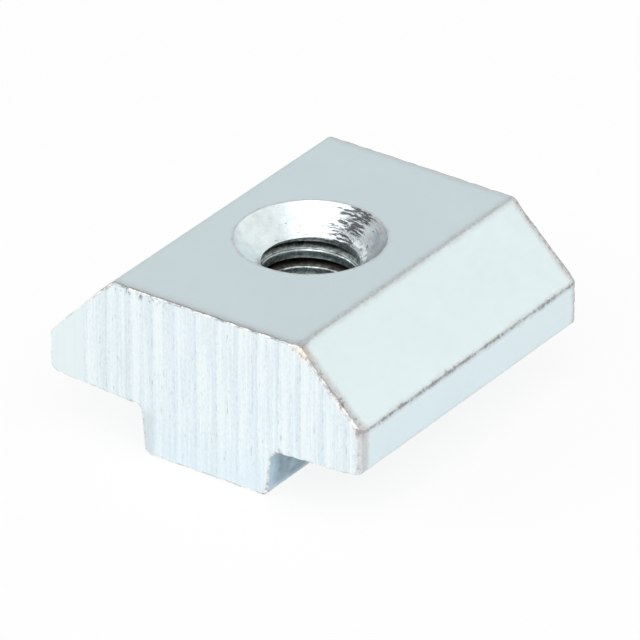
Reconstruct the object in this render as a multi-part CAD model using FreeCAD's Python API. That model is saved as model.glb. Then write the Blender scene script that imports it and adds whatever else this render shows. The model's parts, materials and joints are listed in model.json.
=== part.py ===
import FreeCAD, Part
import math
import os

# A T slot nut that slides along the 8 mm slot of an aluminium profile and takes an M6 screw.
# It is one solid piece: a length of drawn steel bar, cropped at both ends, drilled,
# countersunk and tapped.
# X runs across the wings, Y along the slot and Z up, from the neck to the wide top face.
# The origin is the centre of the neck's flat bottom face, on which the nut stands.
# All sizes are in millimetres.

# Section of the bar
total_width = 19.5
top_width = 11.6
total_height = 9.4
neck_height = 2.7
neck_root_width = 8.15
neck_bottom_width = 7.7
wing_rise = 0.3
side_height = 2.6

# Rounding of the section's corners
top_edge_radius = 0.4
side_edge_radius = 0.4
tip_radius = 0.6
neck_edge_radius = 0.4
root_radius = 0.35

# Cropped ends
length = 19.5
front_edge_radius = 0.15
back_edge_radius = 0.2
flute_pitch = 1.354
flute_depth = 0.05
smooth_left_width = 2.33
smooth_right_width = 0.85

# Tapped hole, at the minor diameter of its M6 thread
thread_minor_diameter = 5.1
countersink_diameter = 7.9
countersink_angle = 90.0
exit_chamfer_diameter = 6.2
exit_chamfer_angle = 90.0
hole_shift = -0.27

# A rounded end edge stays well inside the tightest corner that it runs round.
largest_share_of_corner = 0.85
# How far a cutting tool stands out past the metal that it cuts
overcut = 1.0


def section_corners():
    """Corners of the bar's section as (x, z, radius), anticlockwise seen from the front."""
    wing_bottom = neck_height + wing_rise
    right_half = [
        (neck_bottom_width / 2, 0.0, neck_edge_radius),
        (neck_root_width / 2, neck_height, root_radius),
        (total_width / 2, wing_bottom, tip_radius),
        (total_width / 2, wing_bottom + side_height, side_edge_radius),
        (top_width / 2, total_height, top_edge_radius),
    ]
    left_half = [(-x, z, radius) for x, z, radius in reversed(right_half)]
    return right_half + left_half


def rounded_face(corners, y):
    """A flat face across the bar at y, with an arc in each corner."""
    points = [FreeCAD.Vector(x, y, z) for x, z, radius in corners]
    arcs = []
    for index, point in enumerate(points):
        radius = corners[index][2]
        to_last = (points[index - 1] - point).normalize()
        to_next = (points[(index + 1) % len(points)] - point).normalize()
        half_angle = to_last.getAngle(to_next) / 2
        inward = (to_last + to_next).normalize()
        start = point + to_last * (radius / math.tan(half_angle))
        middle = point + inward * (radius / math.sin(half_angle) - radius)
        end = point + to_next * (radius / math.tan(half_angle))
        arcs.append((start, middle, end))
    edges = []
    for index, (start, middle, end) in enumerate(arcs):
        edges.append(Part.LineSegment(arcs[index - 1][2], start).toShape())
        edges.append(Part.Arc(start, middle, end).toShape())
    return Part.Face(Part.Wire(edges))


def round_end(bar, y, wanted_radius):
    """Rounds the edge that runs round the cropped end at y."""
    tightest = min(top_edge_radius, side_edge_radius, tip_radius, neck_edge_radius)
    radius = min(wanted_radius, largest_share_of_corner * tightest)
    end_edges = []
    for edge in bar.Edges:
        box = edge.BoundBox
        if abs(box.YMin - y) < 1e-6 and abs(box.YMax - y) < 1e-6:
            end_edges.append(edge)
    return bar.makeFillet(radius, end_edges)


def flute_cutter(y, outward):
    """A tool that leaves shallow upright flutes in the cropped end at y."""
    left = -total_width / 2 + smooth_left_width
    right = total_width / 2 - smooth_right_width
    count = max(1, int((right - left) / flute_pitch))
    edges = []
    for index in range(count):
        start_x = left + index * flute_pitch
        start = FreeCAD.Vector(start_x, y, 0)
        middle = FreeCAD.Vector(start_x + flute_pitch / 2, y - outward * flute_depth, 0)
        end = FreeCAD.Vector(start_x + flute_pitch, y, 0)
        edges.append(Part.Arc(start, middle, end).toShape())
    near_left = FreeCAD.Vector(left, y, 0)
    far_left = FreeCAD.Vector(left, y + outward * overcut, 0)
    far_right = FreeCAD.Vector(left + count * flute_pitch, y + outward * overcut, 0)
    near_right = FreeCAD.Vector(left + count * flute_pitch, y, 0)
    edges.append(Part.LineSegment(near_right, far_right).toShape())
    edges.append(Part.LineSegment(far_right, far_left).toShape())
    edges.append(Part.LineSegment(far_left, near_left).toShape())
    plan = Part.Face(Part.Wire(edges))
    plan.translate(FreeCAD.Vector(0, 0, -overcut))
    return plan.extrude(FreeCAD.Vector(0, 0, total_height + 2 * overcut))


def hole_cutter():
    """The drilled hole with its countersink and the small chamfer where it leaves the neck."""
    hole_radius = thread_minor_diameter / 2
    sink_radius = countersink_diameter / 2
    exit_radius = exit_chamfer_diameter / 2
    sink_slope = math.tan(math.radians(countersink_angle / 2))
    exit_slope = math.tan(math.radians(exit_chamfer_angle / 2))
    sink_depth = (sink_radius - hole_radius) / sink_slope
    exit_depth = (exit_radius - hole_radius) / exit_slope
    half_outline = [
        (0, -overcut),
        (exit_radius + overcut * exit_slope, -overcut),
        (hole_radius, exit_depth),
        (hole_radius, total_height - sink_depth),
        (sink_radius + overcut * sink_slope, total_height + overcut),
        (0, total_height + overcut),
    ]
    points = [FreeCAD.Vector(radius, 0, z) for radius, z in half_outline]
    outline = Part.Face(Part.makePolygon(points + points[:1]))
    cutter = outline.revolve(FreeCAD.Vector(0, 0, 0), FreeCAD.Vector(0, 0, 1), 360)
    cutter.translate(FreeCAD.Vector(hole_shift, 0, 0))
    return cutter


def nut_body():
    """The whole nut."""
    front = -length / 2
    back = length / 2
    bar = rounded_face(section_corners(), front).extrude(FreeCAD.Vector(0, length, 0))
    bar = round_end(bar, front, front_edge_radius)
    bar = round_end(bar, back, back_edge_radius)
    bar = bar.cut(flute_cutter(front, -1))
    bar = bar.cut(flute_cutter(back, 1))
    return bar.cut(hole_cutter())


os.makedirs("parts", exist_ok=True)
body = nut_body().Solids[0]
body.exportStep("parts/nut_body.step")
print("nut_body valid", body.isValid(), "volume", round(body.Volume, 2))
print("faces", len(body.Faces), "box", body.BoundBox)
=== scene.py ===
"""The looks of a T slot nut: a cropped, zinc-plated steel bar with a tapped, countersunk hole."""

import json
import math

import bmesh
import bpy
from mathutils import Matrix, Vector, noise


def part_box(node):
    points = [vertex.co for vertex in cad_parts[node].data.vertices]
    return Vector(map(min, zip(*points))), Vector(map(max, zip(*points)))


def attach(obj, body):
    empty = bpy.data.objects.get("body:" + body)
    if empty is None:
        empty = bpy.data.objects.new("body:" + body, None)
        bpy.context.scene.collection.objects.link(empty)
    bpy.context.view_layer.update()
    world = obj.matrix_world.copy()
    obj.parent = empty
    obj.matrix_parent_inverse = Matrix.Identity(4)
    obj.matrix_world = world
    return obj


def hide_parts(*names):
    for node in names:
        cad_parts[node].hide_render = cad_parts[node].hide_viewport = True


bl_info = {
    "name": "T Slot Nut Looks",
    "version": (1, 0, 0),
    "blender": (4, 5, 0),
    "location": "View3D > Sidebar > T Slot Nut",
    "description": "Builds the visual model of a zinc-plated T slot nut and its studio",
    "category": "Object",
}

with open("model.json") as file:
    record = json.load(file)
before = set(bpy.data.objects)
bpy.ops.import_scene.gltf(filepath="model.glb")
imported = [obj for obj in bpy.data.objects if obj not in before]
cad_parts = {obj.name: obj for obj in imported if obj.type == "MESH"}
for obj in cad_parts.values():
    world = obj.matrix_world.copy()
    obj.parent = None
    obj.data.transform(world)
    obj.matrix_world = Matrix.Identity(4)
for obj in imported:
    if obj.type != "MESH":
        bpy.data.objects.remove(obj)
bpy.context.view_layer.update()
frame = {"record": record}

# A millimetre in metres, and the scale that brings metres to millimetres
MM = 0.001
TO_MM = 1000

NODE = "nut_body"
BODY_LOW, BODY_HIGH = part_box(NODE)
THREAD_MOUNT = next(mount for mount in frame["record"]["mounts"] if mount["name"] == "thread")
HOLE_RADIUS = THREAD_MOUNT["dims"]["r_mm"]
FRONT, BACK = -1, 1
LEFT, RIGHT = -1, 1

# The crop's upright flutes, in millimetres along X, and how far they wander from even places
FIRST_RIDGE = -7.42
FLUTE_PITCH = 1.354
FLUTES = 12
FLUTE_CUTS = 20
FLUTE_DEPTH = 0.04
WANDER = 0.15
WANDER_START = -5.2
WANDER_LENGTH = 14.0

# Rounding of the section from the neck's bottom up, in millimetres: the drawing has left the
# wing's root rounder on the +X side
RIGHT_RADII = (0.4, 0.7, 0.6, 0.4, 0.4)
LEFT_RADII = (0.4, 0.35, 0.6, 0.4, 0.4)

# Radii of the crop's rims and of its worn upright corners on the +X side, in millimetres
FRONT_RIM = 0.12
BACK_RIM = 0.18
CORNER_RADIUS = 0.4

# Steps of the mesh's fine and coarse cuts, how near an end a face counts as part of it, and how
# deep the crop's marks reach into the bar, in millimetres
FINE_STEP = 0.15
COARSE_STEP = 0.6
END_REACH = 0.32
WORKED_DEPTH = 0.35

# Where the shear has flattened the crop's corners: at which edge, on which side, at which end,
# towards where and how deep in millimetres
CORNER_PRESSES = (
    ("crest", RIGHT, FRONT, (0.24, -1.0, 0.47), 0.2),
    ("crest", RIGHT, FRONT, (0.37, -0.08, 0.92), 0.11),
    ("crest", RIGHT, BACK, (0.3, 0.5, 0.8), 0.1),
    ("crest", LEFT, FRONT, (-0.5, -0.5, 0.7), 0.1),
    ("crest", LEFT, BACK, (-0.35, 0.7, 0.56), 0.12),
    ("shoulder", LEFT, FRONT, (-0.735, -0.05, 0.68), 0.23),
    ("shoulder", RIGHT, FRONT, (0.6, -0.5, 0.6), 0.1),
    ("shoulder", RIGHT, BACK, (0.6, 0.45, 0.5), 0.12),
)

# Depths of the crop's torn rim and of its pits, at the front and at the back, in millimetres
TEARS = {FRONT: (0.16, 0.05), BACK: (0.05, 0.02)}

# Marks on the front crop's +X rim, in metres: a painted warm shade and a painted highlight at
# the top, nicked at the shoulder on the side and on the cropped face
WARM_SHADE_CORNER = (0.0062, BODY_LOW.y, 0.0092)
HIGHLIGHT_CORNER = (0.0060, -0.0096, 0.0093)
SIDE_NICK = (BODY_HIGH.x, BODY_LOW.y, 0.0055)
CROP_NICK = (0.0095, BODY_LOW.y, 0.0056)

# Height of a thread's land where it meets the hole's +X side, in millimetres
LAND_HEIGHT = 0.66

# Sides of the countersink, as directions from the hole's axis: where the tool chattered, where
# it tore the steel, where the zinc is dull and darkened with painted shade, and where it is
# only scratched
CHATTER_SIDE = (0.42, 0.907, 0)
TORN_SIDE = (0.087, 0.996, 0)
DULL_AND_SHADED_SIDE = (0.8, 0.6, 0)
SCRATCHED_SIDE = (-0.48, 0.877, 0)

# Slots of the nut's mesh, in the order in which its materials are added
PLATE, CROPPED, SINK, THREAD = range(4)

# Lamps: name, direction from the nut, distance, width and height in metres, brightness, colour
LAMPS = (
    ("front_lamp", (0.28, -0.43, 0.857), 0.7, 0.6, 0.75, 1.3, (1, 1, 1)),
    ("right_lamp", (0.484, 0.714, 0.506), 0.6, 0.5, 0.5, 0.21, (1.0, 0.93, 0.80)),
    ("left_lamp", (-0.6, -0.6, 0.5), 0.7, 0.35, 0.35, 1.6, (1, 1, 1)),
    ("hole_lamp", (0.62, 0.17, 0.77), 0.7, 0.3, 0.26, 0.6, (1, 1, 1)),
)

# Brightness of the room, by the sine of the elevation
ROOM_BANDS = ((0.0, 0.36), (0.12, 0.6), (0.3, 1.05), (0.5, 1.06), (0.68, 0.72), (0.85, 0.45))


# Properties

class NutSizes(bpy.types.PropertyGroup):
    """Sizes of the nut that its outer box and its thread mount don't give."""

    top_width: bpy.props.FloatProperty(
        name="Top width", description="Width of the flat countersunk face",
        default=11.6 * MM, unit="LENGTH")
    neck_height: bpy.props.FloatProperty(
        name="Neck height", description="Height of the wing roots above the neck's bottom",
        default=2.7 * MM, unit="LENGTH")
    neck_root_width: bpy.props.FloatProperty(
        name="Neck root width", description="Width of the neck where the wings leave it",
        default=8.15 * MM, unit="LENGTH")
    neck_bottom_width: bpy.props.FloatProperty(
        name="Neck bottom width", description="Width of the neck at its bottom face",
        default=7.7 * MM, unit="LENGTH")
    wing_rise: bpy.props.FloatProperty(
        name="Wing rise", description="How much the wing's underside climbs to its tip",
        default=0.3 * MM, unit="LENGTH")
    side_height: bpy.props.FloatProperty(
        name="Side height", description="Height of the upright side at the wing's tip",
        default=2.6 * MM, unit="LENGTH")
    pitch: bpy.props.FloatProperty(
        name="Thread pitch", description="Distance from one turn of the thread to the next",
        default=1.0 * MM, unit="LENGTH")
    thread_diameter: bpy.props.FloatProperty(
        name="Thread diameter", description="Diameter at the bottom of the thread's grooves",
        default=6.0 * MM, unit="LENGTH")
    sink_diameter: bpy.props.FloatProperty(
        name="Countersink diameter", description="Diameter of the countersink at the top face",
        default=7.9 * MM, unit="LENGTH")
    exit_diameter: bpy.props.FloatProperty(
        name="Exit chamfer diameter", description="Diameter of the chamfer at the neck's bottom",
        default=6.2 * MM, unit="LENGTH")


class NutFinish(bpy.types.PropertyGroup):
    """Colours of the nut's surfaces and of the floor."""

    plate: bpy.props.FloatVectorProperty(
        name="Plate", description="Zinc plating on the drawn faces",
        default=(0.785, 0.90, 0.935), subtype="COLOR", size=3, min=0, max=1)
    edge: bpy.props.FloatVectorProperty(
        name="Worn edge", description="Granular grey plating along the edges",
        default=(0.60, 0.60, 0.61), subtype="COLOR", size=3, min=0, max=1)
    burr: bpy.props.FloatVectorProperty(
        name="Burr", description="Brownish line where the crop has rolled an edge over",
        default=(0.27, 0.24, 0.23), subtype="COLOR", size=3, min=0, max=1)
    # Blotchy stain with painted shade under the wings, and on the countersink's +X side
    stain_and_shade: bpy.props.FloatVectorProperty(
        name="Stain", description="Thin, darker plating on the neck under the wings",
        default=(0.44, 0.565, 0.645), subtype="COLOR", size=3, min=0, max=1)
    cropped: bpy.props.FloatVectorProperty(
        name="Cropped face", description="Zinc plating on the cropped ends",
        default=(0.865, 0.95, 0.975), subtype="COLOR", size=3, min=0, max=1)
    # Bluish streaks on the crop, and the painted shade on the crop's flutes and neck
    streak_and_shade: bpy.props.FloatVectorProperty(
        name="Streak", description="Bluish streaks on the cropped ends",
        default=(0.775, 0.88, 0.94), subtype="COLOR", size=3, min=0, max=1)
    # A painted highlight on the crop's top +X corner
    polished: bpy.props.FloatVectorProperty(
        name="Polished corner", description="Bright plating where the crop's top corner is rubbed",
        default=(1.0, 0.97, 0.88), subtype="COLOR", size=3, min=0, max=1)
    # A painted warm shade beside the highlighted corner
    tan: bpy.props.FloatVectorProperty(
        name="Tanned corner", description="Yellowed plating beside the polished corner",
        default=(0.66, 0.57, 0.47), subtype="COLOR", size=3, min=0, max=1)
    # Painted highlights on the beads of the crop's torn rim
    bead: bpy.props.FloatVectorProperty(
        name="Bead", description="White beads of metal on the crop's torn rim",
        default=(1.0, 1.0, 0.99), subtype="COLOR", size=3, min=0, max=1)
    crevice: bpy.props.FloatVectorProperty(
        name="Crevice", description="Grime in pits and beside the ridges",
        default=(0.36, 0.39, 0.42), subtype="COLOR", size=3, min=0, max=1)
    land: bpy.props.FloatVectorProperty(
        name="Thread land", description="Grey steel on the thread's lands",
        default=(0.56, 0.64, 0.64), subtype="COLOR", size=3, min=0, max=1)
    # Brownish steel, made darker as painted shade down in the grooves
    groove: bpy.props.FloatVectorProperty(
        name="Thread groove", description="Brownish steel down in the thread's grooves",
        default=(0.085, 0.08, 0.07), subtype="COLOR", size=3, min=0, max=1)
    floor: bpy.props.FloatVectorProperty(
        name="Floor", description="Pale floor under the nut",
        default=(0.92, 0.92, 0.92), subtype="COLOR", size=3, min=0, max=1)


class NutStudio(bpy.types.PropertyGroup):
    """The camera's place, which is the photograph's."""

    azimuth: bpy.props.FloatProperty(
        name="Azimuth", description="The camera's turn from the cropped end to the right",
        default=math.radians(35.126), subtype="ANGLE")
    elevation: bpy.props.FloatProperty(
        name="Elevation", description="The camera's angle above the floor",
        default=math.radians(29.176), subtype="ANGLE")
    distance: bpy.props.FloatProperty(
        name="Distance", description="From the point looked at to the camera",
        default=480.0 * MM, unit="LENGTH")
    lens: bpy.props.FloatProperty(
        name="Lens", description="Focal length in millimetres on a sensor 36 mm wide",
        default=524.575, subtype="DISTANCE_CAMERA")
    aim: bpy.props.FloatVectorProperty(
        name="Aim", description="The point that the camera looks at",
        default=(0.317 * MM, 0.0, 4.716 * MM), subtype="XYZ", size=3)


# The bar's mesh, in millimetres until it is finished

def millimetres(group):
    """The lengths of a property group as plain numbers of millimetres."""
    return {name: getattr(group, name) / MM for name in group.__annotations__}


def crest_and_shoulder(sizes):
    """The ends of the long slope on the bar's +X side, as (x, z): upper one first."""
    tip = sizes["neck_height"] + sizes["wing_rise"]
    crest = (sizes["top_width"] / 2, BODY_HIGH.z / MM)
    shoulder = (BODY_HIGH.x / MM, tip + sizes["side_height"])
    return crest, shoulder


def section_corners(sizes):
    """Corners of the bar's section as (x, z, radius), once round it."""
    crest, shoulder = crest_and_shoulder(sizes)
    places = [
        (sizes["neck_bottom_width"] / 2, 0.0),
        (sizes["neck_root_width"] / 2, sizes["neck_height"]),
        (BODY_HIGH.x / MM, sizes["neck_height"] + sizes["wing_rise"]),
        shoulder,
        crest,
    ]
    right_half = [(x, z, radius) for (x, z), radius in zip(places, RIGHT_RADII)]
    left_half = [(-x, z, radius) for (x, z), radius in zip(places, LEFT_RADII)]
    return right_half + left_half[::-1]


def round_corner(mesh, vert, radius):
    """Rounds one corner of the flat section to a radius."""
    to_last, to_next = [(edge.other_vert(vert).co - vert.co) for edge in vert.link_edges]
    reach = radius / math.tan(to_last.angle(to_next) / 2)
    bmesh.ops.bevel(mesh, geom=[vert], offset=reach, offset_type="OFFSET", segments=5,
                    profile=0.5, affect="VERTICES", clamp_overlap=True, material=-1)


def steps(start, stop, step):
    """Places between start and stop that are a step apart."""
    count = math.ceil((stop - start) / step - 1e-6)
    return [start + index * step for index in range(1, count)]


def slice_across(mesh, axis, places, faces=None):
    """Cuts the mesh, or the given faces, along planes across one axis."""
    normal = Vector((0, 0, 0))
    normal[axis] = 1
    for place in places:
        if faces is None:
            geom = mesh.verts[:] + mesh.edges[:] + mesh.faces[:]
        else:
            edges = {edge for face in faces for edge in face.edges}
            verts = {vert for face in faces for vert in face.verts}
            geom = [*faces, *edges, *verts]
        cut = bmesh.ops.bisect_plane(mesh, geom=geom, dist=1e-4, plane_co=normal * place,
                                     plane_no=normal)
        if faces is not None:
            faces = {item for item in cut["geom"] if isinstance(item, bmesh.types.BMFace)}
    return faces


def near_end(face, half_length, reach):
    """Whether a face lies wholly at one of the two cropped ends."""
    places = [vert.co.y for vert in face.verts]
    return max(places) < reach - half_length or min(places) > half_length - reach


def flute_place(count):
    """Where the crop's flutes have come to, across the bar, after a number of them."""
    even = FIRST_RIDGE + FLUTE_PITCH * count
    return even + WANDER * math.sin(2 * math.pi * (even - WANDER_START) / WANDER_LENGTH)


def bar_mesh(sizes):
    """The drawn bar, cropped to length, with rounded ends and a mesh fine enough to work."""
    half_length = BODY_HIGH.y / MM
    half_width = BODY_HIGH.x / MM
    top = BODY_HIGH.z / MM
    mesh = bmesh.new()
    corners = section_corners(sizes)
    verts = [mesh.verts.new((x, -half_length, z)) for x, z, radius in corners]
    mesh.faces.new(verts)
    for vert, (x, z, radius) in zip(verts, corners):
        round_corner(mesh, vert, radius)
    pushed = bmesh.ops.extrude_face_region(mesh, geom=mesh.faces[:])
    moved = [item for item in pushed["geom"] if isinstance(item, bmesh.types.BMVert)]
    bmesh.ops.translate(mesh, verts=moved, vec=(0, 2 * half_length, 0))
    bmesh.ops.recalc_face_normals(mesh, faces=mesh.faces)
    for side, radius in ((FRONT, FRONT_RIM), (BACK, BACK_RIM)):
        rim = [edge for edge in mesh.edges
               if all(abs(vert.co.y - side * half_length) < 1e-4 for vert in edge.verts)]
        bmesh.ops.bevel(mesh, geom=rim, offset=radius, offset_type="OFFSET", segments=4,
                        profile=0.5, affect="EDGES", clamp_overlap=True, material=-1)
    cut_numbers = range(-2 * FLUTE_CUTS, (FLUTES + 2) * FLUTE_CUTS)
    cuts = [flute_place(number / FLUTE_CUTS) for number in cut_numbers]
    cuts = [place for place in cuts if abs(place) < half_width - 0.01]
    ends = [face for face in mesh.faces if near_end(face, half_length, END_REACH)]
    ends = slice_across(mesh, 0, cuts, ends)
    ends = slice_across(mesh, 2, steps(0, top, FINE_STEP), ends)
    for face in ends:
        face.material_index = CROPPED
    slice_across(mesh, 0, cuts[::10])
    slice_across(mesh, 2, steps(0, top, COARSE_STEP))
    slice_across(mesh, 1, steps(-half_length + FINE_STEP, half_length - FINE_STEP, FINE_STEP))
    return mesh


def flute_share(x):
    """Where x lies in its upright flute, from 0 at the ridge on its left to 1, or None outside."""
    wander = WANDER * math.sin(2 * math.pi * (x - WANDER_START) / WANDER_LENGTH)
    across = (x - wander - FIRST_RIDGE) / FLUTE_PITCH
    if not -0.01 < across < FLUTES:
        return None
    return (across + 0.01) % 1


def press_in(vert):
    """How far a point of a cropped end is pressed in by flutes, crevices and tearing."""
    x, y, z = vert.co
    side = math.copysign(1, y)
    sink = 0.010 * abs(noise.noise((x * 5.0, side * 3.0, z * 0.3)))
    sink += 0.006 * abs(noise.noise((x * 11.0, side * 7.0, z * 0.9)))
    share = flute_share(x)
    if share is None:
        return sink * 0.4
    sink += FLUTE_DEPTH * 4 * share * (1 - share)
    if share > 0.91:
        dash = noise.noise((math.floor(x) * 5.3, side * 2.0, z * 1.7))
        sink += 0.03 * max(0.0, dash)
    return sink


def press_corner(mesh, corner, towards, depth):
    """Flattens a corner of the crop, as the shear does where it leaves the bar."""
    towards = Vector(towards).normalized()
    for vert in mesh.verts:
        over = (vert.co - corner).dot(towards) + depth
        if over > 0:
            dent = noise.noise((vert.co.x * 2.2, vert.co.y * 2.2, vert.co.z * 2.2))
            vert.co -= towards * (over * 0.85 + 0.03 * abs(dent))


def wear_corner(vert, half_width, half_length):
    """Draws a point near an upright +X corner of the bar in to the corner's worn radius."""
    over = vert.co.x - (half_width - CORNER_RADIUS)
    out = abs(vert.co.y) - (half_length - CORNER_RADIUS)
    reach = math.hypot(over, out)
    if over > 0 and out > 0:
        x, y, z = vert.co
        dent = 0.05 * abs(noise.noise((x * 3.0, y * 3.0, z * 2.6)))
        part = min(1.0, (CORNER_RADIUS - dent) / reach)
        vert.co.x = half_width - CORNER_RADIUS + over * part
        vert.co.y = math.copysign(half_length - CORNER_RADIUS + out * part, y)


def work_ends(mesh, sizes):
    """Works both cropped ends: flutes, a torn rim, pressed corners and worn upright ones."""
    half_length = BODY_HIGH.y / MM
    half_width = BODY_HIGH.x / MM
    mesh.normal_update()
    moves = []
    for vert in mesh.verts:
        x, y, z = vert.co
        side = math.copysign(1, y)
        depth_in = half_length - abs(y)
        if depth_in > WORKED_DEPTH:
            continue
        share = 1 - depth_in / WORKED_DEPTH
        move = Vector((0, -side * share * press_in(vert), 0))
        if 0.02 < abs(vert.normal.y) < 0.95:
            bead = noise.noise((x * 1.5, side * 5.0, z * 1.5))
            grain = noise.noise((x * 6.0, side * 5.0, z * 6.0))
            tear, pit = TEARS[side]
            move -= vert.normal * (tear * max(0.0, bead) + pit * abs(grain))
        moves.append((vert, move))
    for vert, move in moves:
        vert.co += move
    edges = dict(zip(("crest", "shoulder"), crest_and_shoulder(sizes)))
    for edge, left_or_right, side, towards, depth in CORNER_PRESSES:
        x, z = edges[edge]
        corner = Vector((left_or_right * x, side * half_length, z))
        press_corner(mesh, corner, towards, depth)
    for vert in mesh.verts:
        wear_corner(vert, half_width, half_length)


def roughen_edges(mesh):
    """Gives the bar's long edges the slight waviness that drawing and plating leave."""
    mesh.normal_update()
    moves = []
    for vert in mesh.verts:
        turn = max((edge.calc_face_angle(0) for edge in vert.link_edges), default=0)
        if turn < math.radians(3) or not any(edge.is_convex for edge in vert.link_edges):
            continue
        x, y, z = vert.co
        bead = noise.noise((x * 2.0, y * 3.0, z * 2.0))
        moves.append((vert, vert.normal * (0.014 * abs(bead))))
    for vert, move in moves:
        vert.co -= move


def thread_cutter(sizes, low, high):
    """A threaded rod that leaves the tapped hole's turns, about the Z axis."""
    stations = 90
    pitch = sizes["pitch"]
    major = sizes["thread_diameter"] / 2
    flank_slope = math.tan(math.radians(30))
    ease = 0.05
    eased = HOLE_RADIUS + ease * flank_slope
    flank = (major - eased) * flank_slope
    root = pitch / 20
    land = pitch - root - 2 * (flank + ease)
    heights = [0.0]
    for rise in (land, ease, flank, root, flank, ease):
        heights.append(heights[-1] + rise)
    radii = [HOLE_RADIUS, HOLE_RADIUS, eased, major, major, eased, HOLE_RADIUS]
    mesh = bmesh.new()
    turns_below = 3
    start = LAND_HEIGHT - land / 2 - turns_below * pitch
    verts = [mesh.verts.new((radius, 0, start + height)) for radius, height in zip(radii, heights)]
    edges = [mesh.edges.new(pair) for pair in zip(verts, verts[1:])]
    bmesh.ops.spin(mesh, geom=verts + edges, cent=(0, 0, 0), axis=(0, 0, 1),
                   dvec=(0, 0, pitch / stations), angle=2 * math.pi, steps=stations,
                   use_merge=False)
    turn = mesh.verts[:] + mesh.edges[:] + mesh.faces[:]
    for copy_number in range(math.ceil((high - start) / pitch) + 1):
        copied = bmesh.ops.duplicate(mesh, geom=turn)
        turn = copied["geom"]
        moved = [item for item in turn if isinstance(item, bmesh.types.BMVert)]
        bmesh.ops.translate(mesh, verts=moved, vec=(0, 0, pitch))
    bmesh.ops.remove_doubles(mesh, verts=mesh.verts, dist=1e-3)
    for height, upward in ((low, -1), (high, 1)):
        bmesh.ops.bisect_plane(mesh, geom=mesh.verts[:] + mesh.edges[:] + mesh.faces[:],
                               dist=1e-4, plane_co=(0, 0, height), plane_no=(0, 0, upward),
                               clear_outer=True)
    rims = [edge for edge in mesh.edges if edge.is_boundary]
    bmesh.ops.holes_fill(mesh, edges=rims, sides=0)
    bmesh.ops.recalc_face_normals(mesh, faces=mesh.faces)
    for vert in mesh.verts:
        x, y, z = vert.co
        vert.co.z += 0.02 * noise.noise((x * 1.1, y * 1.1, z * 0.8))
    return mesh


def cone_cutter(low_radius, high_radius, low, high):
    """A cone for the countersink or the exit chamfer, about the Z axis, with chatter marks."""
    mesh = bmesh.new()
    bmesh.ops.create_cone(mesh, cap_ends=True, cap_tris=False, segments=240,
                          radius1=low_radius, radius2=high_radius, depth=high - low,
                          matrix=Matrix.Translation((0, 0, (low + high) / 2)))
    slice_across(mesh, 2, steps(low, high, 0.08))
    for vert in mesh.verts:
        x, y, z = vert.co
        radius = math.hypot(x, y)
        if radius < 1 or min(z - low, high - z) < 1e-3:
            continue
        torn = 0.5 + 0.5 * (x * CHATTER_SIDE[0] + y * CHATTER_SIDE[1]) / radius
        chatter = noise.noise((x * 1.3, y * 1.3, z * 6.0))
        grit = noise.noise((x * 4.0, y * 4.0, z * 11.0))
        push = (0.012 + 0.026 * torn) * chatter + (0.004 + 0.016 * torn) * grit
        vert.co.x += push * x / radius
        vert.co.y += push * y / radius
    return mesh


def hole_cutters(sizes):
    """The cutters of the whole hole, about the Z axis, with the slots of the faces they leave."""
    top = BODY_HIGH.z / MM
    sink_radius = sizes["sink_diameter"] / 2
    exit_radius = sizes["exit_diameter"] / 2
    spare = 1.0
    point = 0.01
    return (
        (thread_cutter(sizes, -spare, top + spare), THREAD),
        (cone_cutter(point, sink_radius + spare, top - sink_radius + point, top + spare), SINK),
        (cone_cutter(exit_radius + spare, point, -spare, exit_radius - point), SINK),
    )


def as_object(mesh, name, material_index=None):
    """A scene object that holds a finished bmesh."""
    if material_index is not None:
        for face in mesh.faces:
            face.material_index = material_index
    data = bpy.data.meshes.new(name)
    mesh.to_mesh(data)
    mesh.free()
    made = bpy.data.objects.new(name, data)
    bpy.context.scene.collection.objects.link(made)
    return made


def cut_with(target, cutter):
    """Cuts one object out of another and throws the cutter away."""
    modifier = target.modifiers.new("cut", "BOOLEAN")
    modifier.operation = "DIFFERENCE"
    modifier.solver = "EXACT"
    modifier.object = cutter
    graph = bpy.context.evaluated_depsgraph_get()
    result = bpy.data.meshes.new_from_object(target.evaluated_get(graph))
    target.modifiers.clear()
    old = target.data
    target.data = result
    bpy.data.meshes.remove(old)
    bpy.data.objects.remove(cutter)


def finish_mesh(target):
    """Marks the worn edges and the sharp ones, and brings the mesh to metres."""
    mesh = bmesh.new()
    mesh.from_mesh(target.data)
    bmesh.ops.dissolve_degenerate(mesh, dist=1e-4, edges=mesh.edges)
    worn = mesh.verts.layers.float.new("worn")
    sharp, slight, full = [math.radians(degrees) for degrees in (38, 4, 12)]
    for edge in mesh.edges:
        angle = edge.calc_face_angle(0)
        edge.smooth = angle < sharp
        outside = all(face.material_index in (PLATE, CROPPED) for face in edge.link_faces)
        flat = all(abs(face.normal.y) > 0.93 for face in edge.link_faces)
        if outside and not flat and angle > slight and edge.is_convex:
            for vert in edge.verts:
                vert[worn] = max(vert[worn], min(1, angle / full))
    for face in mesh.faces:
        face.smooth = True
    bmesh.ops.scale(mesh, vec=(MM, MM, MM), verts=mesh.verts)
    mesh.to_mesh(target.data)
    mesh.free()


# Materials

def new_material(name):
    """An empty node material with its output and a metal shader."""
    material = bpy.data.materials.new(name)
    material.use_nodes = True
    tree = material.node_tree
    tree.nodes.clear()
    output = tree.nodes.new("ShaderNodeOutputMaterial")
    shader = tree.nodes.new("ShaderNodeBsdfPrincipled")
    shader.inputs["Metallic"].default_value = 1.0
    tree.links.new(shader.outputs["BSDF"], output.inputs["Surface"])
    return material, tree, shader


def put(tree, socket, value):
    """Gives a socket a plain value or a link, whichever the value is."""
    if isinstance(value, bpy.types.NodeSocket):
        tree.links.new(value, socket)
    elif hasattr(value, "__len__") and len(value) < len(socket.default_value):
        socket.default_value = (*value, 1)
    else:
        socket.default_value = value


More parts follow.
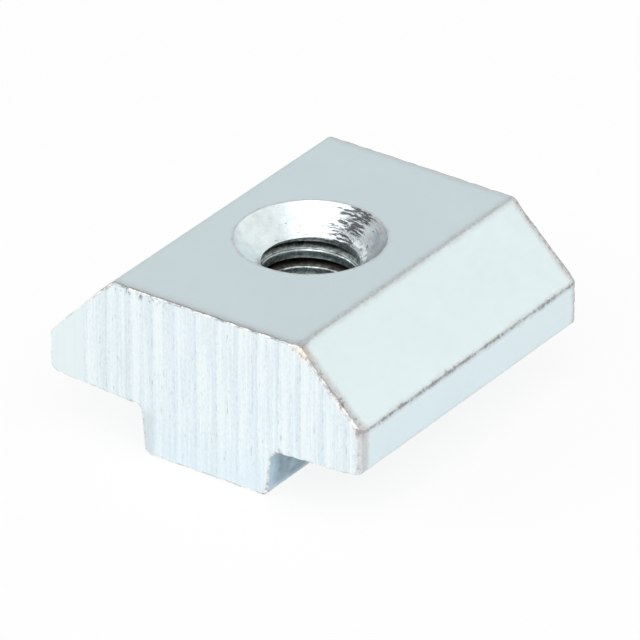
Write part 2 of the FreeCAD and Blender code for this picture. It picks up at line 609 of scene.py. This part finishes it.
def coordinates(tree, scale, centre=(0, 0, 0)):
    """Object coordinates about a centre, stretched for a pattern."""
    source = tree.nodes.new("ShaderNodeTexCoord")
    mapping = tree.nodes.new("ShaderNodeMapping")
    mapping.inputs["Location"].default_value = [-c * s for c, s in zip(centre, scale)]
    mapping.inputs["Scale"].default_value = scale
    tree.links.new(source.outputs["Object"], mapping.inputs["Vector"])
    return mapping.outputs["Vector"]


def in_millimetres(tree):
    """Object coordinates in millimetres."""
    return coordinates(tree, (TO_MM, TO_MM, TO_MM))


def axis_of(tree, vector, axis):
    """One component of a vector."""
    split = tree.nodes.new("ShaderNodeSeparateXYZ")
    tree.links.new(vector, split.inputs["Vector"])
    return split.outputs[axis]


def calculate(tree, operation, *values):
    """A Math node on plain values and sockets."""
    made = tree.nodes.new("ShaderNodeMath")
    made.operation = operation
    for socket, value in zip(made.inputs, values):
        put(tree, socket, value)
    return made.outputs["Value"]


def times(tree, first, second):
    """The product of two values."""
    return calculate(tree, "MULTIPLY", first, second)


def plus(tree, first, second):
    """The sum of two values."""
    return calculate(tree, "ADD", first, second)


def scale_and_shift(tree, value, factor, shift):
    """A value times a factor, plus a shift."""
    return calculate(tree, "MULTIPLY_ADD", value, factor, shift)


def to_and_fro(tree, noise_value, width):
    """A noise spread evenly about zero, to make a border ragged over a width."""
    return scale_and_shift(tree, noise_value, width, -width / 2)


def combine(tree, operation, *values):
    """A Vector Math node on plain vectors and sockets."""
    made = tree.nodes.new("ShaderNodeVectorMath")
    made.operation = operation
    for socket, value in zip(made.inputs, values):
        put(tree, socket, value)
    single = operation in ("LENGTH", "DISTANCE", "DOT_PRODUCT")
    return made.outputs["Value" if single else "Vector"]


def fade(tree, value, full, gone):
    """A mask that is 1 where a value is on the full side and 0 past where it is gone."""
    made = tree.nodes.new("ShaderNodeMapRange")
    made.inputs["From Min"].default_value = full
    made.inputs["From Max"].default_value = gone
    made.inputs["To Min"].default_value = 1.0
    made.inputs["To Max"].default_value = 0.0
    tree.links.new(value, made.inputs["Value"])
    return made.outputs["Result"]


def above_shoulder(tree, up, least):
    """A mask that is strong above the bar's shoulders and falls to its least below them."""
    return scale_and_shift(tree, fade(tree, up, 5.7, 5.0), 0.75, least)


def from_end(tree):
    """Millimetres from the nearer cropped end."""
    along = axis_of(tree, in_millimetres(tree), "Y")
    return calculate(tree, "SUBTRACT", BODY_HIGH.y / MM, calculate(tree, "ABSOLUTE", along))


def from_long_edge(tree, x, z):
    """Millimetres from a long edge of the bar, on whichever side of its middle."""
    folded = combine(tree, "ABSOLUTE", coordinates(tree, (TO_MM, 0, TO_MM)))
    return combine(tree, "DISTANCE", folded, (x, 0, z))


def from_axis(tree):
    """The way from the hole's axis, in millimetres across it."""
    return coordinates(tree, (TO_MM, TO_MM, 0), THREAD_MOUNT["pos_m"])


def from_corner(tree, corner, ragged):
    """Millimetres from a corner of the bar, less along its height, with a ragged border."""
    reach = combine(tree, "LENGTH", coordinates(tree, (TO_MM, TO_MM, 0.7 * TO_MM), corner))
    return plus(tree, reach, ragged)


def around_hole(tree, around, up):
    """Coordinates that run round the hole and up it, stretched for a pattern."""
    unit = combine(tree, "NORMALIZE", from_axis(tree))
    turned = combine(tree, "MULTIPLY", unit, (around, around, 0))
    return combine(tree, "ADD", turned, coordinates(tree, (0, 0, up)))


def noise_at(tree, vector, detail=3.0, roughness=0.55):
    """A noise texture on coordinates that carry its scale."""
    texture = tree.nodes.new("ShaderNodeTexNoise")
    texture.inputs["Scale"].default_value = 1.0
    texture.inputs["Detail"].default_value = detail
    texture.inputs["Roughness"].default_value = roughness
    tree.links.new(vector, texture.inputs["Vector"])
    return texture.outputs["Fac"]


def ramp(tree, value, stops):
    """A colour ramp over a value, from (position, grey or colour) stops."""
    made = tree.nodes.new("ShaderNodeValToRGB")
    elements = made.color_ramp.elements
    while len(elements) < len(stops):
        elements.new(0.5)
    for element, (position, colour) in zip(elements, stops):
        element.position = position
        if not hasattr(colour, "__len__"):
            colour = (colour, colour, colour)
        element.color = (*colour, 1)
    tree.links.new(value, made.inputs["Fac"])
    return made.outputs["Color"]


def blend(tree, factor, first, second, how="MIX"):
    """Blends two colours, each a socket or a plain colour."""
    made = tree.nodes.new("ShaderNodeMix")
    made.data_type = "RGBA"
    made.blend_type = how
    sockets = {socket.identifier: socket for socket in made.inputs}
    put(tree, sockets["Factor_Float"], factor)
    put(tree, sockets["A_Color"], first)
    put(tree, sockets["B_Color"], second)
    return next(socket for socket in made.outputs if socket.identifier == "Result_Color")


def paint(tree, base, colour, mask, strength=1.0):
    """A base with a colour laid over it, as strongly as a mask lets it."""
    if strength < 1.0:
        mask = times(tree, mask, strength)
    return blend(tree, mask, base, colour)


def scaled(colour, factor):
    """A colour made lighter or darker."""
    return tuple(channel * factor for channel in colour)


def broken(tree, mask, noise_value, low, high):
    """A mask that a noise breaks into specks and dashes."""
    return times(tree, mask, ramp(tree, noise_value, [(low, 0), (high, 1)]))


def attribute(tree, name):
    """A value that the mesh carries at its points."""
    made = tree.nodes.new("ShaderNodeAttribute")
    made.attribute_name = name
    return made.outputs["Fac"]


def give_surface(tree, shader, base, roughness, height, strength, distance):
    """Feeds the shader its colour, its roughness and a bump from a pattern of heights."""
    tree.links.new(base, shader.inputs["Base Color"])
    tree.links.new(roughness, shader.inputs["Roughness"])
    bump = tree.nodes.new("ShaderNodeBump")
    bump.inputs["Strength"].default_value = strength
    bump.inputs["Distance"].default_value = distance
    tree.links.new(height, bump.inputs["Height"])
    tree.links.new(bump.outputs["Normal"], shader.inputs["Normal"])


# Zinc on the drawn faces

def hazy_ends(tree, finish, base, end, up, grit):
    """Greys the drawn faces near the crop, and specks them there below the top face."""
    top = BODY_HIGH.z / MM
    below_top = fade(tree, up, top - 0.15, top - 0.02)
    haze = times(tree, fade(tree, end, 0.3, 0.7), scale_and_shift(tree, below_top, 0.45, 0.3))
    base = paint(tree, base, finish.edge, haze)
    specks = times(tree, fade(tree, end, 0.3, 0.55), below_top)
    return paint(tree, base, scaled(finish.burr, 1.3), broken(tree, specks, grit, 0.51, 0.59))


def granular_edges(tree, finish, sizes, base, ragged, grit):
    """Greys the bar's long edges, those of the top face most on its +X side."""
    crest, shoulder = crest_and_shoulder(sizes)
    crest_line = plus(tree, ragged, from_long_edge(tree, *crest))
    on_right = fade(tree, axis_of(tree, in_millimetres(tree), "X"), 1.0, -1.0)
    soft = times(tree, fade(tree, crest_line, 0.1, 0.36),
                 scale_and_shift(tree, on_right, 0.45, 0.15))
    soft = times(tree, soft, ramp(tree, grit, [(0.42, 0.3), (0.56, 1.2)]))
    base = paint(tree, base, finish.edge, soft)
    side_line = plus(tree, from_long_edge(tree, *shoulder), ragged)
    tip = (BODY_HIGH.x / MM, sizes["neck_height"] + sizes["wing_rise"])
    tip_line = plus(tree, from_long_edge(tree, *tip), ragged)
    near = calculate(tree, "MINIMUM", side_line, calculate(tree, "SUBTRACT", tip_line, 0.1))
    base = paint(tree, base, finish.edge, fade(tree, near, 0.08, 0.3), 0.55)
    return paint(tree, base, scaled(finish.edge, 0.5), fade(tree, side_line, 0.0, 0.1), 0.8)


def marked_and_shaded_corners(tree, finish, base, end, up, ragged, rolled_grain):
    """Wears the front upright edge pale, marks the drawn faces where the crop rolled them and
    paints a warm shade beside the top +X corner.
    """
    upright = coordinates(tree, (TO_MM, TO_MM, 0), (BODY_HIGH.x, BODY_LOW.y, 0))
    worn = plus(tree, combine(tree, "LENGTH", upright), ragged)
    base = paint(tree, base, scaled(finish.edge, 1.15), fade(tree, worn, 0.3, 0.75), 0.7)
    rolled = times(tree, fade(tree, end, 0.11, 0.22), above_shoulder(tree, up, 0.15))
    base = paint(tree, base, finish.burr, times(tree, rolled, rolled_grain))
    nicked = from_corner(tree, SIDE_NICK, ragged)
    base = paint(tree, base, finish.burr, fade(tree, nicked, 0.1, 0.35), 0.6)
    # Painted warm shade on the drawn faces beside the highlighted corner
    warm_shade_reach = from_corner(tree, WARM_SHADE_CORNER, ragged)
    return paint(tree, base, finish.tan, fade(tree, warm_shade_reach, 0.2, 0.6), 0.8)


def stained_and_shaded_neck(tree, finish, base, end, up):
    """Lays blotchy stain and painted shade on the neck's sides, lighter near the crop."""
    # Painted shade under the wings, with a blotchy stain, lighter near the crop
    under_wing_shade = ramp(tree, times(tree, up, 0.25), [(0.02, 0), (0.14, 1), (0.62, 1), (0.68, 0)])
    blotch = noise_at(tree, coordinates(tree, (1900, 1300, 1300)), detail=4, roughness=0.6)
    stain_and_shade = ramp(tree, blotch, [(0.3, scaled(finish.stain_and_shade, 0.57)),
                                (0.7, scaled(finish.stain_and_shade, 1.08))])
    stain_and_shade = paint(tree, stain_and_shade, scaled(finish.stain_and_shade, 1.65), fade(tree, end, 0.4, 1.2), 0.55)
    return paint(tree, base, stain_and_shade, under_wing_shade)


def plate_material(finish, sizes):
    """Blue-white zinc on the smooth drawn faces, granular along their edges."""
    material, tree, shader = new_material("zinc_plate")
    cloud = noise_at(tree, coordinates(tree, (180, 180, 180)), detail=2)
    base = ramp(tree, cloud, [(0.3, scaled(finish.plate, 0.985)),
                              (0.7, scaled(finish.plate, 1.01))])
    grit = noise_at(tree, coordinates(tree, (6200, 4600, 6200)), detail=4, roughness=0.75)
    coarse = noise_at(tree, coordinates(tree, (1300, 1100, 1300)), detail=3, roughness=0.6)
    ragged = plus(tree, to_and_fro(tree, grit, 0.5), to_and_fro(tree, coarse, 0.3))
    end = plus(tree, from_end(tree), ragged)
    up = axis_of(tree, in_millimetres(tree), "Z")
    base = hazy_ends(tree, finish, base, end, up, grit)
    base = granular_edges(tree, finish, sizes, base, ragged, grit)
    rolled_grain = times(tree, ramp(tree, coarse, [(0.38, 0.4), (0.55, 1)]),
                         ramp(tree, grit, [(0.42, 0.45), (0.54, 1.1)]))
    base = marked_and_shaded_corners(tree, finish, base, end, up, ragged, rolled_grain)
    rim = calculate(tree, "SUBTRACT", combine(tree, "LENGTH", from_axis(tree)),
                    sizes["sink_diameter"] / 2)
    rim = plus(tree, rim, ragged)
    base = paint(tree, base, finish.edge, fade(tree, rim, 0.0, 0.18), 0.7)
    base = stained_and_shaded_neck(tree, finish, base, end, up)
    grain = noise_at(tree, coordinates(tree, (6000, 1500, 6000)), detail=2)
    height = plus(tree, times(tree, grain, 0.1), times(tree, grit, attribute(tree, "worn")))
    give_surface(tree, shader, base, ramp(tree, grain, [(0.3, 0.38), (0.7, 0.46)]), height,
                 0.5, 0.03 * MM)
    return material


# Zinc on the cropped ends

def flute_masks(tree, x_place, streak):
    """How far across its flute each place lies, and a mask that starts at the first ridge."""
    turn = scale_and_shift(tree, x_place, 2 * math.pi / WANDER_LENGTH,
                           -2 * math.pi * WANDER_START / WANDER_LENGTH)
    wander = times(tree, calculate(tree, "SINE", turn), WANDER)
    across = calculate(tree, "SUBTRACT", calculate(tree, "SUBTRACT", x_place, wander), FIRST_RIDGE)
    across = calculate(tree, "DIVIDE", across, FLUTE_PITCH)
    border = plus(tree, across, to_and_fro(tree, streak, 0.5))
    return calculate(tree, "FRACT", across), fade(tree, border, 0.04, -0.08)


def fluted_zinc(tree, finish, share, inside, streak, dashes):
    """Streaky zinc; each flute gets a painted highlight, a painted shade and a broken dark line.
    """
    colour = finish.cropped
    base = ramp(tree, streak, [(0.3, scaled(finish.streak_and_shade, 0.95)), (0.45, scaled(colour, 0.96)),
                               (0.55, colour), (0.68, scaled(colour, 1.1))])
    plain = ramp(tree, streak, [(0.3, scaled(colour, 0.98)), (0.7, scaled(colour, 1.01))])
    base = paint(tree, plain, base, inside)
    patchy = noise_at(tree, coordinates(tree, (800, 500, 160)), detail=2)
    # Painted highlight: a bright stripe just right of each ridge
    painted_highlight = ramp(tree, share, [(0.03, 0), (0.12, 0.45), (0.18, 1), (0.25, 0.6), (0.4, 0.35),
                                (0.8, 0)])
    painted_highlight = times(tree, painted_highlight, ramp(tree, patchy, [(0.35, 0.2), (0.6, 1.0)]))
    base = paint(tree, base, scaled(colour, 1.1), times(tree, painted_highlight, inside))
    # Painted shade: a darker stripe just left of each ridge
    painted_shade = ramp(tree, share, [(0.72, 0), (0.93, 0.6), (0.97, 0.6), (1.0, 0)])
    base = paint(tree, base, finish.streak_and_shade, times(tree, painted_shade, inside))
    line = ramp(tree, share, [(0.0, 0.3), (0.02, 0), (0.94, 0), (0.97, 0.7), (1.0, 0.5)])
    line = broken(tree, times(tree, line, inside), dashes, 0.50, 0.74)
    base = paint(tree, base, finish.crevice, line)
    pits = noise_at(tree, coordinates(tree, (6000, 900, 1500), (0, 0, 0.003)), detail=4,
                    roughness=0.7)
    pits = times(tree, ramp(tree, pits, [(0.62, 0), (0.72, 0.5)]), inside)
    base = paint(tree, base, finish.crevice, pits)
    grain = noise_at(tree, coordinates(tree, (9500, 500, 4200)), detail=2, roughness=0.7)
    cool, warm = (0.93, 0.955, 0.98), (1.06, 1.035, 1.02)
    tinted = ramp(tree, grain, [(0.35, cool), (0.65, warm)])
    return blend(tree, inside, base, tinted, "MULTIPLY")


def painted_neck_shade(tree, finish, base, x_place, up):
    """Paints shade on the crop towards the neck's bottom, most along the neck's -X edge."""
    # Painted shade, darker towards the neck's bottom and by its -X edge under the wing
    base = paint(tree, base, finish.streak_and_shade, fade(tree, up, 0.6, 3.2), 0.45)
    neck_edge = 3.7
    from_edge = calculate(tree, "ABSOLUTE", plus(tree, x_place, neck_edge))
    mask = times(tree, fade(tree, from_edge, 0.1, 0.75),
                 times(tree, fade(tree, up, 2.2, 2.9), 0.5))
    return paint(tree, base, scaled(finish.cropped, 0.72), mask)


def glints_and_flecks_on_slope(tree, finish, sizes, base, up, coarse, grit):
    """Paints highlights on torn beads and lays grey flecks just inside the crop's +X slope rim."""
    crest, shoulder = [Vector((x, 0, z)) for x, z in crest_and_shoulder(sizes)]
    outward = (crest - shoulder).cross(Vector((0, 1, 0))).normalized()
    outward *= math.copysign(1, outward.x)
    inward = calculate(tree, "SUBTRACT", crest.dot(outward),
                       combine(tree, "DOT_PRODUCT", in_millimetres(tree), tuple(outward)))
    below_crest = fade(tree, up, crest.z - 0.3, crest.z - 0.1)
    glint_and_fleck_strip = times(tree, fade(tree, inward, 0.2, 0.42), below_crest)
    # Painted highlights on the torn beads, then grey flecks
    base = paint(tree, base, finish.bead, broken(tree, glint_and_fleck_strip, coarse, 0.44, 0.52))
    return paint(tree, base, finish.edge, broken(tree, glint_and_fleck_strip, grit, 0.54, 0.62))


def torn_and_glinting_rim(tree, finish, base, worn, tender, up, coarse, grit):
    """Greys the worn rim, paints bead highlights and rolls a brown line over its outer side."""
    base = paint(tree, base, scaled(finish.edge, 0.9), worn, 0.7)
    # Painted highlights on the rim's beads
    bead_glints = times(tree, worn, ramp(tree, coarse, [(0.43, 0.05), (0.50, 1.0)]))
    base = paint(tree, base, finish.bead, bead_glints)
    outer = plus(tree, from_end(tree), to_and_fro(tree, grit, 0.1))
    outer = times(tree, fade(tree, outer, 0.105, 0.07), above_shoulder(tree, up, 0.1))
    return paint(tree, base, scaled(finish.burr, 1.2), times(tree, tender, outer))


def worn_right_with_highlight(tree, finish, base, x_place, tender, coarse, grit):
    """Paints a highlight on the upper +X corner, flecks the rim and dulls the +X strip and nick.
    """
    ragged = to_and_fro(tree, grit, 0.8)
    # Painted highlight on the crop's top +X corner
    polished = from_corner(tree, HIGHLIGHT_CORNER, ragged)
    base = paint(tree, base, finish.polished, fade(tree, polished, 0.25, 0.65), 0.9)
    base = paint(tree, base, finish.edge, broken(tree, tender, grit, 0.50, 0.60))
    base = paint(tree, base, finish.burr, broken(tree, tender, grit, 0.58, 0.68))
    half_width = BODY_HIGH.x / MM
    strip = plus(tree, x_place, to_and_fro(tree, grit, 1.2))
    strip = fade(tree, strip, half_width - 0.15, half_width - 0.65)
    base = paint(tree, base, scaled(finish.edge, 1.2), strip, 0.6)
    base = paint(tree, base, finish.edge, broken(tree, strip, coarse, 0.54, 0.64))
    nicked = from_corner(tree, CROP_NICK, ragged)
    return paint(tree, base, scaled(finish.burr, 1.3), fade(tree, nicked, 0.05, 0.22), 0.85)


def cropped_material(finish, sizes):
    """Zinc on the cropped ends, with upright flutes, streaks and small torn pits."""
    material, tree, shader = new_material("zinc_cropped")
    x_place = axis_of(tree, in_millimetres(tree), "X")
    up = axis_of(tree, in_millimetres(tree), "Z")
    streak = noise_at(tree, coordinates(tree, (5200, 500, 150)), detail=4, roughness=0.65)
    dashes = noise_at(tree, coordinates(tree, (2600, 500, 1300)), detail=4, roughness=0.75)
    grit = noise_at(tree, coordinates(tree, (5600, 5200, 4600)), detail=4, roughness=0.75)
    coarse = noise_at(tree, coordinates(tree, (1700, 1700, 1700)), detail=3, roughness=0.65)
    worn = attribute(tree, "worn")
    tender = times(tree, worn, fade(tree, x_place, -4.5, -7.0))
    share, inside = flute_masks(tree, x_place, streak)
    base = fluted_zinc(tree, finish, share, inside, streak, dashes)
    base = painted_neck_shade(tree, finish, base, x_place, up)
    top = BODY_HIGH.z / MM
    flecks = times(tree, fade(tree, up, top - 0.28, top - 0.55), fade(tree, x_place, -3.4, -2.0))
    flecks = times(tree, flecks, fade(tree, up, top - 0.2, top - 0.12))
    base = paint(tree, base, finish.crevice, broken(tree, flecks, dashes, 0.52, 0.6))
    base = glints_and_flecks_on_slope(tree, finish, sizes, base, up, coarse, grit)
    base = torn_and_glinting_rim(tree, finish, base, worn, tender, up, coarse, grit)
    base = worn_right_with_highlight(tree, finish, base, x_place, tender, coarse, grit)
    height = plus(tree, streak, times(tree, grit, worn))
    give_surface(tree, shader, base, ramp(tree, streak, [(0.3, 0.52), (0.7, 0.42)]), height,
                 0.5, 0.03 * MM)
    return material


# Zinc and steel in the hole

def towards_side(tree, side, full, gone):
    """A mask of one side of the hole, with limits that are cosines of the angle from it."""
    unit = combine(tree, "NORMALIZE", from_axis(tree))
    return fade(tree, combine(tree, "DOT_PRODUCT", unit, side), full, gone)


def sink_material(finish):
    """Zinc in the countersink, scored round by the tool and torn where the tool chattered, and
    darkened with painted shade on its +X side, where the zinc is also dull.
    """
    material, tree, shader = new_material("zinc_countersink")
    torn = towards_side(tree, TORN_SIDE, 0.985, 0.93)
    dull_and_shaded = towards_side(tree, DULL_AND_SHADED_SIDE, 0.75, 0.48)
    scratched = towards_side(tree, SCRATCHED_SIDE, 0.97, 0.85)
    score = noise_at(tree, around_hole(tree, 5, 13500), detail=5, roughness=0.7)
    patch = noise_at(tree, around_hole(tree, 4, 2200), detail=4, roughness=0.65)
    cloudy = noise_at(tree, coordinates(tree, (1500, 1500, 1500)), detail=3)
    base = ramp(tree, cloudy, [(0.35, scaled(finish.cropped, 0.90)),
                               (0.6, scaled(finish.cropped, 1.03))])
    stained_and_shaded = ramp(tree, patch, [(0.36, scaled(finish.stain_and_shade, 0.75)),
                                 (0.44, scaled(finish.edge, 0.75)),
                                 (0.6, scaled(finish.cropped, 0.6))])
    # Painted shade: blotchy grey on the countersink's +X side, where the zinc is dull
    base = paint(tree, base, stained_and_shaded, dull_and_shaded, 0.9)
    depth = score
    for side, deeper in ((torn, 0.16), (dull_and_shaded, 0.07), (scratched, 0.04)):
        depth = plus(tree, depth, times(tree, side, deeper))
    scratch = ramp(tree, depth, [(0.66, 0), (0.71, 0.95)])
    base = paint(tree, base, scaled(finish.crevice, 0.2), scratch)
    give_surface(tree, shader, base, ramp(tree, score, [(0.3, 0.28), (0.7, 0.42)]),
                 calculate(tree, "SUBTRACT", 1.0, depth), 0.7, 0.05 * MM)
    return material


def thread_material(finish):
    """Thinly plated steel in the thread: grey lands, brownish grooves deepened by painted shade
    and crest edges brightened by a painted highlight.
    """
    material, tree, shader = new_material("thread_steel")
    depth = calculate(tree, "SUBTRACT", combine(tree, "LENGTH", from_axis(tree)), HOLE_RADIUS)
    # Painted highlight at the crests' edges and painted shade down in the grooves
    base = ramp(tree, depth, [(0.0, finish.land), (0.012, finish.land),
                              (0.03, scaled(finish.cropped, 0.75)),
                              (0.06, finish.groove), (0.4, scaled(finish.groove, 1.2))])
    up = axis_of(tree, in_millimetres(tree), "Z")
    shallow = ramp(tree, depth, [(0.07, 0), (0.12, 0.8), (0.16, 0.4), (0.26, 0.7), (0.36, 0.2)])
    first_groove = times(tree, fade(tree, up, 7.1, 6.95), shallow)
    base = paint(tree, base, finish.land, first_groove)
    base = paint(tree, base, finish.cropped, fade(tree, up, 8.3, 7.7))
    mottle = noise_at(tree, around_hole(tree, 8, 8000), detail=5, roughness=0.75)
    base = blend(tree, 1.0, base, ramp(tree, mottle, [(0.35, 0.3), (0.65, 1.6)]), "MULTIPLY")
    give_surface(tree, shader, base, ramp(tree, mottle, [(0.3, 0.44), (0.7, 0.3)]), mottle,
                 0.4, 0.02 * MM)
    return material


# Operators

class NutOperator:
    """What the operators share."""

    bl_options = {"REGISTER", "UNDO"}


class TSLOT_OT_nut_body(NutOperator, bpy.types.Operator):
    """Builds the nut: the cropped bar with its tapped and countersunk hole"""

    bl_idname = "tslot.nut_body"
    bl_label = "Nut Body"

    def execute(self, context):
        sizes = millimetres(context.scene.nut_sizes)
        finish = context.scene.nut_finish
        axis = Vector(THREAD_MOUNT["pos_m"]) / MM
        axis.z = 0
        bar = bar_mesh(sizes)
        roughen_edges(bar)
        work_ends(bar, sizes)
        body = as_object(bar, "zinc_plated_nut")
        for material in (plate_material(finish, sizes), cropped_material(finish, sizes),
                         sink_material(finish), thread_material(finish)):
            body.data.materials.append(material)
        for mesh, slot in hole_cutters(sizes):
            bmesh.ops.translate(mesh, verts=mesh.verts, vec=axis)
            cutter = as_object(mesh, "cutter", slot)
            for material in body.data.materials:
                cutter.data.materials.append(material)
            cut_with(body, cutter)
        finish_mesh(body)
        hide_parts(NODE)
        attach(body, "root")
        return {"FINISHED"}


def soft_box(name, aim, towards, distance, width, height, radiance, colour):
    """A rectangular lamp that shines at the nut with a given brightness of its own."""
    lamp = bpy.data.lights.new(name, "AREA")
    lamp.color = colour
    lamp.shape = "RECTANGLE"
    lamp.size = width
    lamp.size_y = height
    lamp.energy = 4 * radiance * width * height
    holder = bpy.data.objects.new(name, lamp)
    direction = Vector(towards).normalized()
    holder.location = aim + direction * distance
    holder.rotation_mode = "QUATERNION"
    holder.rotation_quaternion = direction.to_track_quat("Z", "Y")
    bpy.context.scene.collection.objects.link(holder)


def floor_material(finish):
    """A white floor that keeps a pale shadow."""
    material, tree, shader = new_material("pale_floor")
    shader.inputs["Metallic"].default_value = 0.0
    shader.inputs["Base Color"].default_value = (*finish.floor, 1)
    shader.inputs["Roughness"].default_value = 0.8
    shader.inputs["Specular IOR Level"].default_value = 0.0
    paths = tree.nodes.new("ShaderNodeLightPath")
    seen = calculate(tree, "MULTIPLY", paths.outputs["Is Camera Ray"], 0.85)
    mirrored = calculate(tree, "MAXIMUM", paths.outputs["Is Glossy Ray"],
                         paths.outputs["Is Transmission Ray"])
    glowing = calculate(tree, "MAXIMUM", seen, calculate(tree, "MULTIPLY", mirrored, 0.45))
    glow = tree.nodes.new("ShaderNodeEmission")
    glow.inputs["Color"].default_value = (1, 1, 1, 1)
    glow.inputs["Strength"].default_value = 1.0
    mixer = tree.nodes.new("ShaderNodeMixShader")
    tree.links.new(glowing, mixer.inputs["Fac"])
    tree.links.new(shader.outputs["BSDF"], mixer.inputs[1])
    tree.links.new(glow.outputs["Emission"], mixer.inputs[2])
    output = next(node for node in tree.nodes if node.type == "OUTPUT_MATERIAL")
    tree.links.new(mixer.outputs["Shader"], output.inputs["Surface"])
    return material


def studio_world():
    """A room that is dim at the horizon and overhead, and pale in between."""
    world = bpy.data.worlds.new("studio")
    world.use_nodes = True
    tree = world.node_tree
    tree.nodes.clear()
    output = tree.nodes.new("ShaderNodeOutputWorld")
    background = tree.nodes.new("ShaderNodeBackground")
    source = tree.nodes.new("ShaderNodeTexCoord")
    height = axis_of(tree, source.outputs["Generated"], "Z")
    bands = ramp(tree, height, ROOM_BANDS)
    front = combine(tree, "DOT_PRODUCT", source.outputs["Generated"], (0.3, -0.95, 0))
    side = calculate(tree, "MULTIPLY_ADD", front, 0.1, 0.9)
    room = blend(tree, 1.0, bands, side, "MULTIPLY")
    near = combine(tree, "DOT_PRODUCT", source.outputs["Generated"], (0.707, -0.707, 0))
    dim = calculate(tree, "MULTIPLY_ADD", calculate(tree, "MAXIMUM", near, 0.0), -0.4, 1.0)
    tree.links.new(blend(tree, 1.0, room, dim, "MULTIPLY"), background.inputs["Color"])
    tree.links.new(background.outputs["Background"], output.inputs["Surface"])
    bpy.context.scene.world = world


def place_camera(studio):
    """Puts the camera where the photograph's was, looking at the studio's aim."""
    flat = math.cos(studio.elevation)
    back = Vector((math.sin(studio.azimuth) * flat, -math.cos(studio.azimuth) * flat,
                   math.sin(studio.elevation)))
    optics = bpy.data.cameras.new("camera")
    optics.sensor_width = 36.0
    optics.lens = studio.lens
    camera = bpy.data.objects.new("camera", optics)
    camera.location = Vector(studio.aim) + back * studio.distance
    camera.rotation_mode = "QUATERNION"
    camera.rotation_quaternion = back.to_track_quat("Z", "Y")
    bpy.context.scene.collection.objects.link(camera)
    bpy.context.scene.camera = camera


class TSLOT_OT_stage(NutOperator, bpy.types.Operator):
    """Sets up the pale floor, the soft lamps and the camera"""

    bl_idname = "tslot.stage"
    bl_label = "Stage"

    def execute(self, context):
        scene = context.scene
        mesh = bmesh.new()
        bmesh.ops.create_circle(mesh, cap_ends=True, segments=64, radius=12.0)
        floor = as_object(mesh, "floor")
        floor.data.materials.append(floor_material(scene.nut_finish))
        place_camera(scene.nut_studio)
        for name, *values in LAMPS:
            soft_box(name, Vector(scene.nut_studio.aim), *values)
        studio_world()
        scene.view_settings.view_transform = "Standard"
        return {"FINISHED"}


class TSLOT_PT_looks(bpy.types.Panel):
    """Lists the nut's operators and values"""

    bl_label = "T Slot Nut"
    bl_idname = "TSLOT_PT_looks"
    bl_space_type = "VIEW_3D"
    bl_region_type = "UI"
    bl_category = "T Slot Nut"

    def draw(self, context):
        layout = self.layout
        for kind in OPERATORS:
            layout.operator(kind.bl_idname)
        scene = context.scene
        for group in (scene.nut_sizes, scene.nut_finish, scene.nut_studio):
            box = layout.box()
            for name in group.__annotations__:
                box.prop(group, name)


OPERATORS = (TSLOT_OT_nut_body, TSLOT_OT_stage)
CLASSES = (NutSizes, NutFinish, NutStudio, *OPERATORS, TSLOT_PT_looks)


def register():
    """Registers the classes and their values on the scene."""
    for kind in CLASSES:
        bpy.utils.register_class(kind)
    bpy.types.Scene.nut_sizes = bpy.props.PointerProperty(type=NutSizes)
    bpy.types.Scene.nut_finish = bpy.props.PointerProperty(type=NutFinish)
    bpy.types.Scene.nut_studio = bpy.props.PointerProperty(type=NutStudio)


def unregister():
    """Takes the values and the classes away again."""
    del bpy.types.Scene.nut_studio
    del bpy.types.Scene.nut_finish
    del bpy.types.Scene.nut_sizes
    for kind in reversed(CLASSES):
        bpy.utils.unregister_class(kind)


def main():
    """Builds the nut and its stage."""
    register()
    bpy.ops.tslot.nut_body()
    bpy.ops.tslot.stage()


if __name__ == "__main__":
    main()
